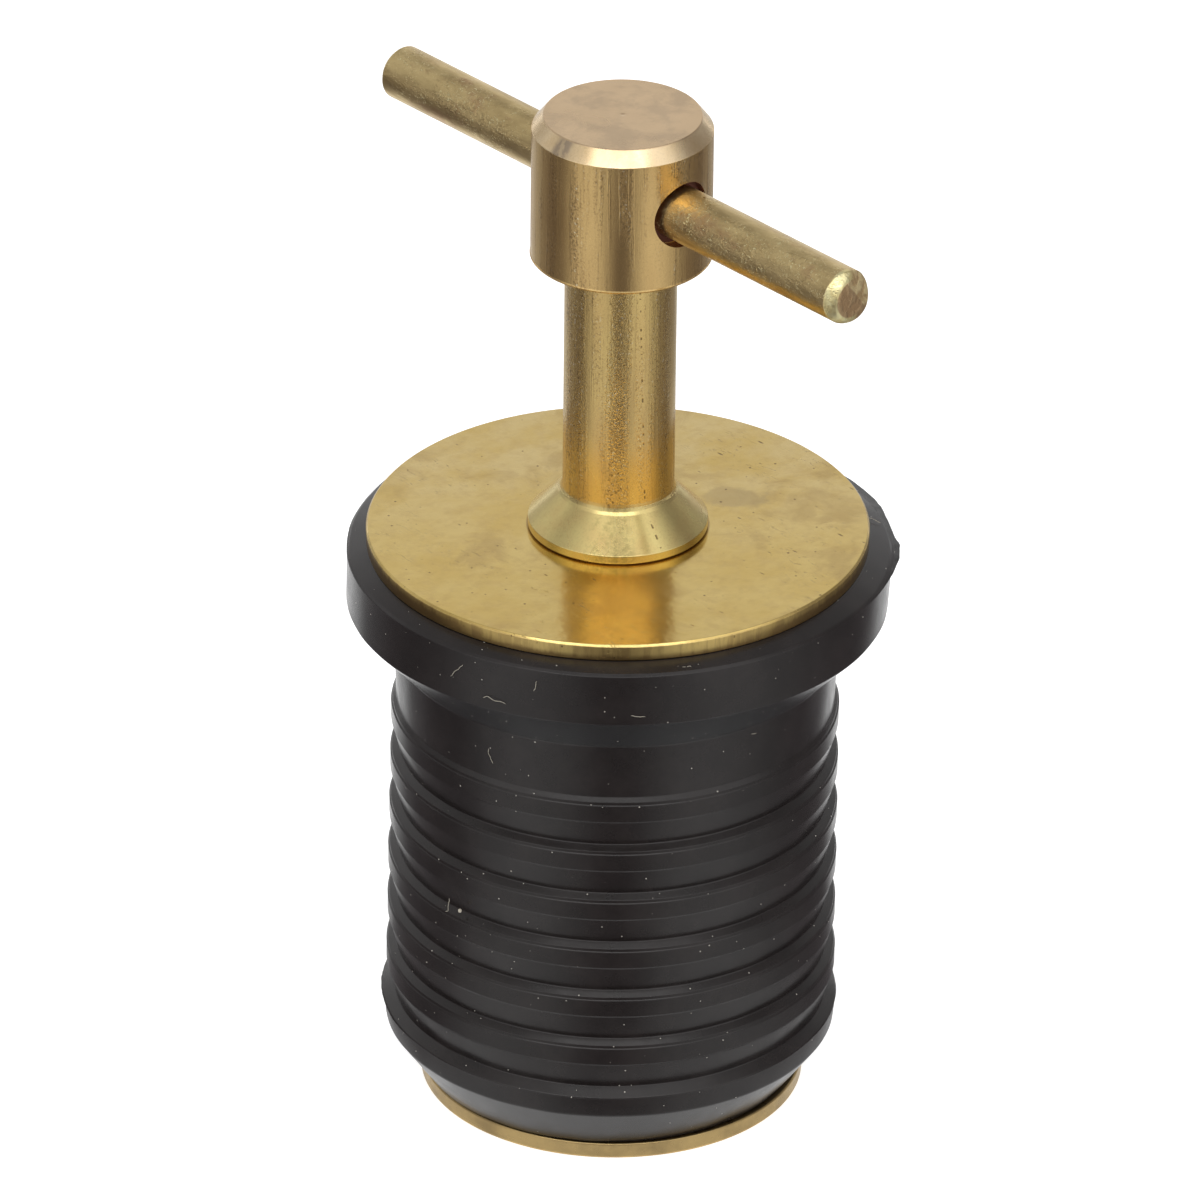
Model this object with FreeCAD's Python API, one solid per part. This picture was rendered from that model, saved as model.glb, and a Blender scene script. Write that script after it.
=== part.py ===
import FreeCAD
import Part
import math
import os

# Expanding drain plug for a boat's drain tube, in millimetres.
# A T-handled brass screw runs down through a brass washer and a ribbed rubber sleeve into a nut
# on a brass plate. Turning the handle lifts the plate, and the rubber bulges against the tube.
# The origin is the centre of the plate's underside. +Z is up the screw, and the bar lies along X.

# Plates, both stamped from the same sheet
sheet_t = 0.95
washer_d = 27.6
plate_d = 21.5
washer_edge = 0.3
plate_edge = 0.15

# Rubber sleeve, from the plate upwards
sleeve_foot_d = 20.7
taper_h = 3.0
collar_d = 25.46
collar_h = 1.15
rib_count = 6
rib_pitch = 3.07
rib_land_h = 1.05
rib_ledge_h = 0.33
rib_depth = 0.45
rib_top_d = 24.96
rib_bottom_d = 25.22
sleeve_neck_d = 24.44
sleeve_neck_h = 3.63
flange_d = 30.1
flange_wall_h = 3.05
flange_fall = 0.5
flange_edge = 0.2

# Handle screw, turned from one bar
head_d = 10.0
head_h = 8.48
head_chamfer_w = 0.65
head_chamfer_h = 0.82
edge_break = 0.12
neck_d = 6.2
neck_h = 14.33
cone_rim_h = 0.56
cone_angle = 45.0
cone_fillet_r = 0.8
thread_d = 5.9
thread_end_chamfer = 0.6
thread_end_up = 0.3
punch_d = 2.0
punch_depth = 0.5

# Cross bar, pressed in the middle of its hole
bar_d = 3.06
bar_l = 36.4
bar_chamfer = 0.45
bar_up_in_head = 4.3
hole_mouth_d = 3.66
hole_mouth_depth = 1.4
press_overlap = 0.01

# Nut, riveted in the plate
nut_flats = 10.0
nut_h = 5.0
nut_corner_w = 0.9
nut_corner_h = 0.45
rivet_d = 8.0
rivet_flare = 0.45

# Clearances
thread_gap = 0.05
washer_gap = 0.08
bore_gap = 0.3
pocket_gap = 0.15
pocket_room = 0.5

# Levels worked out from the sizes above
sleeve_z = sheet_t
collar_z = sleeve_z + taper_h
collar_top_z = collar_z + collar_h
rib_end_z = collar_top_z + rib_count * rib_pitch
under_flange_z = rib_end_z + sleeve_neck_h
flange_z = under_flange_z + (flange_d - sleeve_neck_d) / 2
flange_top_z = flange_z + flange_wall_h
washer_z = flange_top_z + flange_fall
washer_top_z = washer_z + sheet_t
cone_side_h = (head_d - neck_d) / 2 / math.tan(math.radians(cone_angle))
cone_top_z = washer_top_z + cone_rim_h + cone_side_h
head_z = cone_top_z + neck_h
head_top_z = head_z + head_h
bar_z = head_z + bar_up_in_head

AXIS = FreeCAD.Vector(0, 0, 1)
ORIGIN = FreeCAD.Vector(0, 0, 0)


def turned(corners):
    """Solid of revolution about Z. Each corner of the half section is (radius, height, rounding)."""
    points = [FreeCAD.Vector(r, 0, z) for r, z, _ in corners]
    starts, ends, arcs = [], [], []
    for i, (_, _, rounding) in enumerate(corners):
        here = points[i]
        back = points[i - 1] - here
        on = points[(i + 1) % len(points)] - here
        half = back.getAngle(on) / 2
        reach = rounding / math.tan(half)
        back.normalize()
        on.normalize()
        start = here + back * reach
        end = here + on * reach
        starts.append(start)
        ends.append(end)
        if reach > 0:
            middle = here + (back + on).normalize() * reach * (1 - math.sin(half)) / math.cos(half)
            arcs.append(Part.Arc(start, middle, end).toShape())
        else:
            arcs.append(None)
    edges = []
    for i, arc in enumerate(arcs):
        if arc:
            edges.append(arc)
        edges.append(Part.makeLine(ends[i], starts[(i + 1) % len(points)]))
    face = Part.Face(Part.Wire(edges))
    return face.revolve(ORIGIN, AXIS, 360)


def hexagon(flats, low_z, height):
    """Upright hexagonal prism, with two of its flats facing along Y."""
    corner_r = flats / math.sqrt(3)
    ring = []
    for i in range(7):
        angle = math.radians(60 * i)
        ring.append(FreeCAD.Vector(corner_r * math.cos(angle), corner_r * math.sin(angle), low_z))
    return Part.Face(Part.makePolygon(ring)).extrude(AXIS * height)


def cylinder_x(diameter, start_x, length):
    """Cylinder along X at the cross bar's height."""
    base = FreeCAD.Vector(start_x, 0, bar_z)
    return Part.makeCylinder(diameter / 2, length, base, FreeCAD.Vector(1, 0, 0))


def handle_screw():
    """Head, neck, conical flange and shank as one turning, then cross-drilled from both sides."""
    head_r = head_d / 2
    neck_r = neck_d / 2
    shank_r = thread_d / 2
    screw = turned([
        (0, thread_end_up + punch_depth, 0),
        (punch_d / 2, thread_end_up, 0),
        (shank_r - thread_end_chamfer, thread_end_up, 0),
        (shank_r, thread_end_up + thread_end_chamfer, 0),
        (shank_r, washer_top_z, 0),
        (head_r - edge_break, washer_top_z, 0),
        (head_r, washer_top_z + edge_break, 0),
        (head_r, washer_top_z + cone_rim_h, 0),
        (neck_r, cone_top_z, cone_fillet_r),
        (neck_r, head_z, 0),
        (head_r - edge_break, head_z, 0),
        (head_r, head_z + edge_break, 0),
        (head_r, head_top_z - head_chamfer_h, 0),
        (head_r - head_chamfer_w, head_top_z, 0),
        (0, head_top_z, 0),
    ])
    hole = cylinder_x(bar_d - 2 * press_overlap, -head_d, 2 * head_d)
    for side in (-1, 1):
        mouth_start = side * (head_r - hole_mouth_depth)
        start_x = mouth_start if side > 0 else -head_d
        hole = hole.fuse(cylinder_x(hole_mouth_d, start_x, head_d - abs(mouth_start)))
    return screw.cut(hole)


def t_bar():
    """Plain rod with a turned chamfer at each end, its middle at the screw's axis."""
    bar_r = bar_d / 2
    rod = turned([
        (0, 0, 0),
        (bar_r - bar_chamfer, 0, 0),
        (bar_r, bar_chamfer, 0),
        (bar_r, bar_l - bar_chamfer, 0),
        (bar_r - bar_chamfer, bar_l, 0),
        (0, bar_l, 0),
    ])
    rod.rotate(ORIGIN, FreeCAD.Vector(0, 1, 0), 90)
    rod.translate(FreeCAD.Vector(-bar_l / 2, 0, bar_z))
    return rod


def top_washer():
    """Stamped ring, with the rolled edge of the punch side up."""
    hole_r = thread_d / 2 + washer_gap
    return turned([
        (hole_r, washer_z, 0),
        (washer_d / 2, washer_z, 0),
        (washer_d / 2, washer_top_z - washer_edge, 0),
        (washer_d / 2 - washer_edge, washer_top_z, 0),
        (hole_r, washer_top_z, 0),
    ])


def rubber_sleeve():
    """Moulded plug: tapered foot, collar, saw-tooth ribs with a ledge on top, neck and flange."""
    bore_r = thread_d / 2 + bore_gap
    neck_r = sleeve_neck_d / 2
    outline = [
        (bore_r, sleeve_z, 0),
        (sleeve_foot_d / 2, sleeve_z, 0),
        (collar_d / 2, collar_z, 0),
        (collar_d / 2, collar_top_z, 0),
    ]
    for i in range(rib_count):
        below_z = collar_top_z + i * rib_pitch
        land_z = below_z + rib_pitch - rib_land_h
        share = i / max(rib_count - 1, 1)
        rib_r = (rib_bottom_d + (rib_top_d - rib_bottom_d) * share) / 2
        outline.append((rib_r - rib_depth, below_z + rib_ledge_h, 0))
        outline.append((rib_r, land_z, 0))
        outline.append((rib_r, land_z + rib_land_h, 0))
    outline += [
        (neck_r, rib_end_z + rib_ledge_h, 0),
        (neck_r, under_flange_z, 0),
        (flange_d / 2, flange_z, 0),
        (flange_d / 2, flange_top_z - flange_edge, 0),
        (flange_d / 2 - flange_edge, flange_top_z, 0),
        (washer_d / 2, washer_z, 0),
        (bore_r, washer_z, 0),
    ]
    pocket = hexagon(nut_flats + 2 * pocket_gap, sleeve_z, nut_h + pocket_room)
    return turned(outline).cut(pocket)


def bottom_plate():
    """Stamped disc with a hole that is countersunk below for the flared end of the nut."""
    rivet_r = rivet_d / 2
    return turned([
        (rivet_r + rivet_flare, 0, 0),
        (plate_d / 2 - plate_edge, 0, 0),
        (plate_d / 2, plate_edge, 0),
        (plate_d / 2, sheet_t - plate_edge, 0),
        (plate_d / 2 - plate_edge, sheet_t, 0),
        (rivet_r, sheet_t, 0),
        (rivet_r, rivet_flare, 0),
    ])


def thread_nut():
    """Hexagon nut with chamfered corners, and a spigot flared into the plate's countersink."""
    rivet_r = rivet_d / 2
    bore_r = thread_d / 2 + thread_gap
    corner_r = nut_flats / math.sqrt(3)
    top_z = sheet_t + nut_h
    blank = turned([
        (bore_r, sheet_t, 0),
        (corner_r, sheet_t, 0),
        (corner_r, top_z - nut_corner_h, 0),
        (corner_r - nut_corner_w, top_z, 0),
        (bore_r, top_z, 0),
    ])
    spigot = turned([
        (bore_r, 0, 0),
        (rivet_r + rivet_flare, 0, 0),
        (rivet_r, rivet_flare, 0),
        (rivet_r, sheet_t, 0),
        (bore_r, sheet_t, 0),
    ])
    return blank.common(hexagon(nut_flats, sheet_t, nut_h)).fuse(spigot).removeSplitter()


os.makedirs("parts", exist_ok=True)
for build in (handle_screw, t_bar, top_washer, rubber_sleeve, bottom_plate, thread_nut):
    shape = build()
    name = build.__name__
    shape.exportStep("parts/" + name + ".step")
    box = shape.BoundBox
    print(name, shape.ShapeType, "valid", shape.isValid(), "solids", len(shape.Solids),
          "volume", round(shape.Volume, 1), "z", round(box.ZMin, 2), round(box.ZMax, 2))
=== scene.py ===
import math

import bmesh
import bpy
from mathutils import Euler, Matrix, Vector, noise


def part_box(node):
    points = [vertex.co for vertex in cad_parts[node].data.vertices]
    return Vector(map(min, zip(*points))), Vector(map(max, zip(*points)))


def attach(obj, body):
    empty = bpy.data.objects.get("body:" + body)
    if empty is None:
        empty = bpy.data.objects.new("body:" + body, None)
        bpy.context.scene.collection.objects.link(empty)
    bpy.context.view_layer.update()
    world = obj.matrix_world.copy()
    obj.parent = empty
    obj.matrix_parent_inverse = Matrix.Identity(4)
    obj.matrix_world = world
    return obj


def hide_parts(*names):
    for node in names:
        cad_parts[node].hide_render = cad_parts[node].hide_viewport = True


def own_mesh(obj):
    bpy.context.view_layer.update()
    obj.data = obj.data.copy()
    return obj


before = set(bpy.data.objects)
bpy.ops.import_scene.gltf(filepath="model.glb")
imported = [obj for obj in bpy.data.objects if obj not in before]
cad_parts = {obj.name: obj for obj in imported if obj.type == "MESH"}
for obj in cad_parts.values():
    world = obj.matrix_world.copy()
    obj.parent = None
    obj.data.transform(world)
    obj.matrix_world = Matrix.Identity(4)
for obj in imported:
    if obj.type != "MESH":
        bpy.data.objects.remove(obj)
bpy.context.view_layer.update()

# Handle screw. One length of 10 mm brass bar, turned to a chamfered head, a thin neck and a conical
# flange, with an M6 thread rolled on its lower end. The head is cross-drilled for the handle bar, and
# the drill has thrown up a faint burr at both mouths. The faces keep the marks of the tool and draw die.
MM = 0.001


def rounded(corners, arc_step=14.0):
    """Points (r, z, flash) of a half section, in mm, from corners (r, z, rounding, flash)."""
    count = len(corners)
    points = []
    for i, corner in enumerate(corners):
        here = Vector(corner[:2])
        rounding = corner[2] if len(corner) > 2 else 0.0
        flash = corner[3] if len(corner) > 3 else 0.0
        back = Vector(corners[i - 1][:2]) - here
        on = Vector(corners[(i + 1) % count][:2]) - here
        if rounding <= 0:
            points.append((here.x, here.y, flash))
            continue
        half = back.angle(on) / 2
        reach = min(rounding / math.tan(half), 0.48 * min(back.length, on.length))
        rounding = reach * math.tan(half)
        back.normalize()
        on.normalize()
        centre = here + (back + on).normalized() * (rounding / math.sin(half))
        start = here + back * reach - centre
        end = here + on * reach - centre
        steps = max(3, round(math.degrees(math.pi - 2 * half) / arc_step))
        turn = start.angle_signed(end)
        for k in range(steps + 1):
            angle = -turn * k / steps
            spoke = Vector((
                start.x * math.cos(angle) - start.y * math.sin(angle),
                start.x * math.sin(angle) + start.y * math.cos(angle),
            ))
            points.append((centre.x + spoke.x, centre.y + spoke.y, flash))
    return points


def divided(points, longest, closed):
    """The same outline with a support point near each end of a run, and the runs cut to at most longest.

    longest is a length in mm, or a function that gives it for a run from a to b.
    """
    support = 0.03
    out = []
    count = len(points)
    for i in range(count if closed else count - 1):
        a = points[i]
        b = points[(i + 1) % count]
        out.append(a)
        length = math.hypot(b[0] - a[0], b[1] - a[1])
        if length < 4 * support:
            continue
        pieces = math.ceil(length / (longest(a, b) if callable(longest) else longest))
        shares = [support / length] + [k / pieces for k in range(1, pieces)] + [1 - support / length]
        for share in shares:
            out.append((a[0] + (b[0] - a[0]) * share, a[1] + (b[1] - a[1]) * share, 0.0))
    if not closed:
        out.append(points[-1])
    return out


def lathe(name, points, sides, relief=None, closed=False):
    """Mesh turned about Z. relief(angle, r, z, flash) gives the finished (r, z) in mm."""
    mesh = bpy.data.meshes.new(name)
    bm = bmesh.new()
    rings = []
    for r, z, flash in points:
        if r < 1e-6:
            rings.append([bm.verts.new((0, 0, z * MM))] * sides)
            continue
        ring = []
        for s in range(sides):
            angle = 2 * math.pi * s / sides
            rr, zz = relief(angle, r, z, flash) if relief else (r, z)
            ring.append(bm.verts.new((rr * math.cos(angle) * MM, rr * math.sin(angle) * MM, zz * MM)))
        rings.append(ring)
    for i in range(len(rings) if closed else len(rings) - 1):
        low, high = rings[i], rings[(i + 1) % len(rings)]
        for s in range(sides):
            corners = [low[s], low[(s + 1) % sides], high[(s + 1) % sides], high[s]]
            face = bm.faces.new(list(dict.fromkeys(corners)))
            face.smooth = True
    bmesh.ops.recalc_face_normals(bm, faces=bm.faces)
    bm.to_mesh(mesh)
    bm.free()
    piece = bpy.data.objects.new(name, mesh)
    bpy.context.collection.objects.link(piece)
    return piece


def cut(piece, tool):
    """Takes the tool's volume out of the piece and drops the tool."""
    boolean = piece.modifiers.new("cut", "BOOLEAN")
    boolean.object = tool
    boolean.solver = "EXACT"
    shaped = bpy.data.meshes.new_from_object(piece.evaluated_get(bpy.context.evaluated_depsgraph_get()))
    piece.modifiers.clear()
    shaped.name = piece.name
    piece.data = shaped
    bpy.data.objects.remove(tool)


screw_low, screw_high = (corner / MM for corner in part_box("handle_screw"))
washer_low, washer_high = (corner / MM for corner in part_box("top_washer"))
bar_low, bar_high = (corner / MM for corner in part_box("t_bar"))
seat_z = washer_high.z
head_r = screw_high.x
head_top_z = screw_high.z
head_h = 8.48
head_z = head_top_z - head_h
chamfer_w, chamfer_h = 0.65, 0.82
neck_r = 3.1
cone_rim_h = 0.56
cone_fillet = 0.8
cone_top_z = seat_z + cone_rim_h + head_r - neck_r
shank_r = 2.95
end_chamfer = 0.6
thread_pitch = 1.0
thread_depth = 0.54
thread_run = 9.0
thread_flank = 0.42
thread_fade = 1.5
bar_z = (bar_low.z + bar_high.z) / 2
bar_r = (bar_high.z - bar_low.z) / 2
mouth_r = 1.90
mouth_depth = 0.8
mouth_drop = 0.08
burr_h, burr_w = 0.025, 0.2
dip_h, dip_w = 0.010, 0.6
screw_sides = 288


def screw_relief(angle, r, z, flash):
    """Turned faces with a burr round the cross hole and a helical thread on the lower end."""
    if z > head_z + 0.2 and r > head_r - 0.05:
        across = head_r * math.asin(max(-1.0, min(1.0, math.sin(angle))))
        edge = math.hypot(across, z - bar_z) - mouth_r
        if edge < 2 * dip_w:
            r += burr_h * math.exp(-((edge / burr_w) ** 2)) - dip_h * math.exp(-((edge / dip_w) ** 2))
    if z < screw_low.z + thread_run and shank_r - 0.01 < r < shank_r + 0.01:
        phase = ((z - screw_low.z) / thread_pitch - angle / (2 * math.pi)) % 1.0
        groove = max(0.0, 1.0 - abs(phase - 0.5) / thread_flank)
        fade = min(1.0, max(0.0, (screw_low.z + thread_run - z) / thread_fade))
        r -= thread_depth * groove * fade
    return r, z


def screw_step(a, b):
    """Longest step of the mesh from a to b: short on the thread and on the wall of the head."""
    on_thread = max(a[1], b[1]) < screw_low.z + thread_run + 0.1
    on_wall = min(a[1], b[1]) > head_z and min(a[0], b[0]) > head_r - 0.05
    return 0.12 if on_thread or on_wall else 2.0


screw_outline = rounded([
    (0.0, screw_low.z + 0.5),
    (1.0, screw_low.z, 0.08),
    (shank_r - end_chamfer, screw_low.z, 0.05),
    (shank_r, screw_low.z + end_chamfer, 0.05),
    (shank_r, screw_low.z + thread_run),
    (shank_r, seat_z - 1.0),
    (neck_r - 0.15, seat_z - 0.02),
    (head_r - 0.1, seat_z, 0.0),
    (head_r, seat_z + 0.12, 0.08),
    (head_r, seat_z + cone_rim_h, 0.06),
    (neck_r, cone_top_z, cone_fillet),
    (neck_r, head_z, 0.1),
    (head_r - 0.03, head_z, 0.04),
    (head_r + 0.04, head_z + 0.09, 0.03),
    (head_r, head_z + 0.17, 0.03),
    (head_r, head_top_z - chamfer_h, 0.05),
    (head_r - chamfer_w, head_top_z, 0.05),
    (0.2, head_top_z - 0.01, 0.06),
    (0.0, head_top_z - 0.03),
])
screw_points = divided(screw_outline, screw_step, closed=False)
screw = lathe("handle_screw_turned", screw_points, screw_sides, relief=screw_relief)
drill_outline = divided([(0, 0, 0), (mouth_r, 0, 0), (mouth_r, 10, 0), (0, 10, 0)], 2, closed=False)
for side in (-1, 1):
    drill = lathe("drill", drill_outline, 96)
    drill.rotation_euler = Euler((0, side * math.pi / 2, 0))
    drill.location = Vector((side * (head_r - mouth_depth), 0, bar_z - mouth_drop)) * MM
    bpy.context.view_layer.update()
    cut(screw, drill)
screw.data.set_sharp_from_angle(angle=math.radians(32))
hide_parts("handle_screw")
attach(screw, "handle")


def feed(tree, socket, value):
    """Links another socket to this one, or sets it to a number, a vector or a colour."""
    if isinstance(value, bpy.types.NodeSocket):
        tree.links.new(value, socket)
    elif socket.type == "RGBA":
        socket.default_value = (*value, 1)
    else:
        socket.default_value = value


def add(tree, kind, inputs, operation=None):
    """A node with its inputs, by number or name, and its operation if it has one."""
    made = tree.nodes.new(kind)
    if operation:
        made.operation = operation
    for key, value in inputs.items():
        feed(tree, made.inputs[key], value)
    return made


def group(name, inputs, outputs):
    """An empty node group with float, colour or vector sockets, and its two end nodes."""
    tree = bpy.data.node_groups.new(name, "ShaderNodeTree")
    kinds = {"f": "NodeSocketFloat", "c": "NodeSocketColor", "v": "NodeSocketVector"}
    for label, kind in inputs:
        tree.interface.new_socket(name=label, in_out="INPUT", socket_type=kinds[kind])
    for label, kind in outputs:
        tree.interface.new_socket(name=label, in_out="OUTPUT", socket_type=kinds[kind])
    return tree, tree.nodes.new("NodeGroupInput"), tree.nodes.new("NodeGroupOutput")


def use(tree, group_tree, **inputs):
    """Places a node group in a tree, with its inputs by name, and gives its one output."""
    made = tree.nodes.new("ShaderNodeGroup")
    made.node_tree = group_tree
    for key, value in inputs.items():
        feed(tree, made.inputs[key], value)
    return made.outputs[0]


def mix(tree, factor, a, b):
    """Colour between a and b."""
    made = tree.nodes.new("ShaderNodeMix")
    made.data_type = "RGBA"
    for index, value in ((0, factor), (6, a), (7, b)):
        feed(tree, made.inputs[index], value)
    return made.outputs[2]


def math_node(tree, operation, a, b=0.0, c=0.0, clamp=False):
    """One arithmetic step on numbers or sockets."""
    made = tree.nodes.new("ShaderNodeMath")
    made.operation = operation
    made.use_clamp = clamp
    for index, value in enumerate((a, b, c)):
        feed(tree, made.inputs[index], value)
    return made.outputs[0]


def times(tree, a, b):
    """Product of two values."""
    return math_node(tree, "MULTIPLY", a, b)


def flipped(tree, mask):
    """One minus the mask."""
    return math_node(tree, "SUBTRACT", 1.0, mask)


def tint(tree, colour, mask, share, to):
    """The colour, moved this share of the way to another where the mask is one."""
    return mix(tree, times(tree, mask, share), colour, to)


def span(tree, value, low, high, to_low=0.0, to_high=1.0):
    """Maps a value smoothly from one span to another, kept inside it."""
    made = tree.nodes.new("ShaderNodeMapRange")
    made.interpolation_type = "SMOOTHSTEP"
    for index, number in enumerate((value, low, high, to_low, to_high)):
        feed(tree, made.inputs[index], number)
    return made.outputs[0]


def band(tree, value, low, full_from, full_to, high):
    """Mask that is one in the middle of a span of the value, and fades to zero at its ends."""
    return times(tree, span(tree, value, low, full_from), span(tree, value, full_to, high, 1.0, 0.0))


def axes(tree, vector):
    """The three numbers of a vector."""
    return add(tree, "ShaderNodeSeparateXYZ", {0: vector}).outputs


def distance(tree, vector):
    """Length of a vector."""
    return add(tree, "ShaderNodeVectorMath", {0: vector}, "LENGTH").outputs["Value"]


def place(tree, scale=(1, 1, 1), shift=(0, 0, 0)):
    """Object coordinates in mm, stretched by scale and shifted."""
    coords = tree.nodes.new("ShaderNodeTexCoord")
    mapping = tree.nodes.new("ShaderNodeMapping")
    tree.links.new(coords.outputs["Object"], mapping.inputs["Vector"])
    mapping.inputs["Scale"].default_value = [s / MM for s in scale]
    mapping.inputs["Location"].default_value = shift
    return mapping.outputs[0]


def grain(tree, vector, scale, detail=3.0, rough=0.55, distort=0.0):
    """Noise value from 0 to 1."""
    made = add(tree, "ShaderNodeTexNoise", {
        "Vector": vector, "Scale": scale, "Detail": detail, "Roughness": rough, "Distortion": distort,
    })
    return made.outputs["Fac"]


def principled(name):
    """A new material with its tree and its Principled shader."""
    material = bpy.data.materials.new(name)
    material.use_nodes = True
    tree = material.node_tree
    return material, tree, tree.nodes["Principled BSDF"]


def bump(tree, height, depth):
    """Normal from a height map, with its depth in mm."""
    return add(tree, "ShaderNodeBump", {"Height": height, "Distance": depth * MM}).outputs[0]


def tarnish_group():
    """Clean metal or rubber shading to a duller colour in soft clouds."""
    tree, get, give = group(
        "tarnish",
        [("Vector", "v"), ("Clean", "c"), ("Dull", "c"), ("Clouds", "f"), ("Amount", "f")],
        [("Colour", "c")],
    )
    cloud = grain(tree, get.outputs["Vector"], get.outputs["Clouds"], 6.0, 0.62)
    amount = times(tree, span(tree, cloud, 0.34, 0.72), get.outputs["Amount"])
    feed(tree, give.inputs["Colour"], mix(tree, amount, get.outputs["Clean"], get.outputs["Dull"]))
    return tree


def pits_group():
    """Small dents, nicks or grains: cells whose middles are marked, each to its own size."""
    tree, get, give = group(
        "pits",
        [("Vector", "v"), ("Scale", "f"), ("Size", "f"), ("Share", "f")],
        [("Mask", "f")],
    )
    places = {"Vector": get.outputs["Vector"], "Scale": get.outputs["Scale"]}
    cells = add(tree, "ShaderNodeTexVoronoi", places)
    shade = add(tree, "ShaderNodeSeparateColor", {0: cells.outputs["Color"]})
    chosen = math_node(tree, "LESS_THAN", shade.outputs[0], get.outputs["Share"])
    radius = times(tree, shade.outputs[1], get.outputs["Size"])
    inside = math_node(tree, "DIVIDE", cells.outputs["Distance"], radius)
    bowl = math_node(tree, "SUBTRACT", 1.0, inside, clamp=True)
    feed(tree, give.inputs["Mask"], times(tree, bowl, chosen))
    return tree


tarnish = tarnish_group()
pits = pits_group()

screw_brass, tree, shader = principled("turned_brass")
x, y, z = axes(tree, place(tree))
from_axis = distance(tree, place(tree, (1, 1, 0)))
from_hole = distance(tree, place(tree, (0, 1, 1), (0, 0, -bar_z)))
turn = math_node(tree, "ARCTAN2", y, x)
on_head = span(tree, z, head_z - 0.1, head_z + 0.1)
on_top = span(tree, z, head_top_z - 0.07, head_top_z - 0.03)
on_chamfer = span(tree, z, head_top_z - chamfer_h - 0.03, head_top_z - chamfer_h + 0.01)
on_cone = span(tree, z, cone_top_z - 0.1, cone_top_z + 0.35, 1.0, 0.0)
rim_contact_shade = span(tree, z, seat_z + 0.02, seat_z + 0.08, 1.0, 0.0)
shaded_hole = times(tree, span(tree, from_hole, mouth_r + 0.03, mouth_r + 0.08, 1.0, 0.0),
                span(tree, from_axis, head_r - 0.12, head_r - 0.04, 1.0, 0.0))
plain_turned = flipped(tree, math_node(tree, "ADD", on_chamfer, on_cone, clamp=True))
on_neck = times(tree, plain_turned, flipped(tree, on_head))

clean = mix(tree, on_head, (0.86, 0.63, 0.25), (0.85, 0.59, 0.25))
clean = mix(tree, on_chamfer, clean, (0.97, 0.76, 0.48))
clean = mix(tree, on_cone, clean, (0.80, 0.655, 0.275))
clouds = use(tree, tarnish, Vector=place(tree, (1, 1, 0.3)), Clean=clean, Dull=(0.68, 0.44, 0.18),
             Clouds=0.45, Amount=0.5)

draw_marks = grain(tree, place(tree, (1.7, 1.7, 0.07)), 1.0, 4.0, 0.6)
patches = grain(tree, place(tree, (1, 1, 0.3)), 0.30, 3.0, 0.55)
specks = grain(tree, place(tree, (1, 1, 0.85)), 8.0, 2.0, 0.6)
worn = times(tree, span(tree, draw_marks, 0.44, 0.62), span(tree, patches, 0.36, 0.58))
worn = times(tree, worn, plain_turned)
colour = tint(tree, clouds, worn, 0.24, (0.42, 0.25, 0.11))
dirt = times(tree, span(tree, specks, 0.53, 0.62), math_node(tree, "ADD", worn, 0.16, clamp=True))
colour = tint(tree, colour, dirt, 0.48, (0.20, 0.115, 0.05))

# The neck is rubbed in fine upright lines, most of all in three bands round it, and pocked along them.
rubbed_bands = ((-0.77, 0.15), (-1.53, 0.12), (0.20, 0.14))
lines = span(tree, grain(tree, place(tree, (1.2, 1.2, 0.05), (4, 1, 0)), 1.0, 3.0, 0.6), 0.42, 0.62)
for middle, half in rubbed_bands:
    aside = math_node(tree, "ABSOLUTE", math_node(tree, "SUBTRACT", turn, middle))
    lines = math_node(tree, "MAXIMUM", lines, span(tree, aside, half - 0.10, half + 0.10, 1.0, 0.0))
rubbed = times(tree, lines, on_neck)
pock_grain = grain(tree, place(tree, (1, 1, 0.8), (6, 2, 5)), 9.5, 2.0, 0.6)
pocks = times(tree, span(tree, pock_grain, 0.55, 0.64), rubbed)
colour = tint(tree, colour, pocks, 0.75, (0.24, 0.145, 0.055))

dent_grain = grain(tree, place(tree, (1, 1, 1), (2, 2, 7)), 2.6, 4.0, 0.7)
dented = times(tree, times(tree, band(tree, turn, -1.20, -1.05, -0.66, -0.50), on_cone),
               span(tree, dent_grain, 0.42, 0.66))
colour = tint(tree, colour, dented, 0.65, (0.50, 0.40, 0.155))
# Painted glints: small near-white spots on the worn and rubbed streaks stand in for the light that tiny
# bumps catch.
painted_glint_grain = grain(tree, place(tree, (1, 1, 0.85), (3, 7, 1)), 7.0, 1.0, 0.5)
painted_glint = times(tree, span(tree, painted_glint_grain, 0.64, 0.72), math_node(tree, "MAXIMUM", worn, rubbed))
colour = tint(tree, colour, painted_glint, 0.7, (1.0, 0.88, 0.62))
smudge = span(tree, grain(tree, place(tree, (1, 1, 1), (2, 5, 0)), 0.50, 6.0, 0.66, 0.2), 0.44, 0.66)
top_tan = tint(tree, (0.79, 0.575, 0.35), smudge, 0.55, (0.56, 0.42, 0.27))
colour = mix(tree, on_top, colour, top_tan)
# Painted shade: a dark line along the bottom of the flange's rim, where it sits on the washer.
colour = tint(tree, colour, rim_contact_shade, 0.7, (0.16, 0.07, 0.03))
# Painted shade: the wall of the cross hole is coloured dark, as if in the shadow of the bore.
colour = mix(tree, shaded_hole, colour, (0.30, 0.14, 0.105))
# Painted reflection: a darker grey-brown patch on the left of the chamfer, where its reflection turns dark.
chamfer_dark_reflection = times(tree, band(tree, turn, -1.68, -1.60, -1.46, -1.36), on_chamfer)
chamfer_dark_reflection = times(tree, times(tree, chamfer_dark_reflection, span(tree, draw_marks, 0.40, 0.55, 0.4, 1.0)), flipped(tree, on_top))
colour = tint(tree, colour, chamfer_dark_reflection, 0.7, (0.40, 0.31, 0.24))

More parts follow.
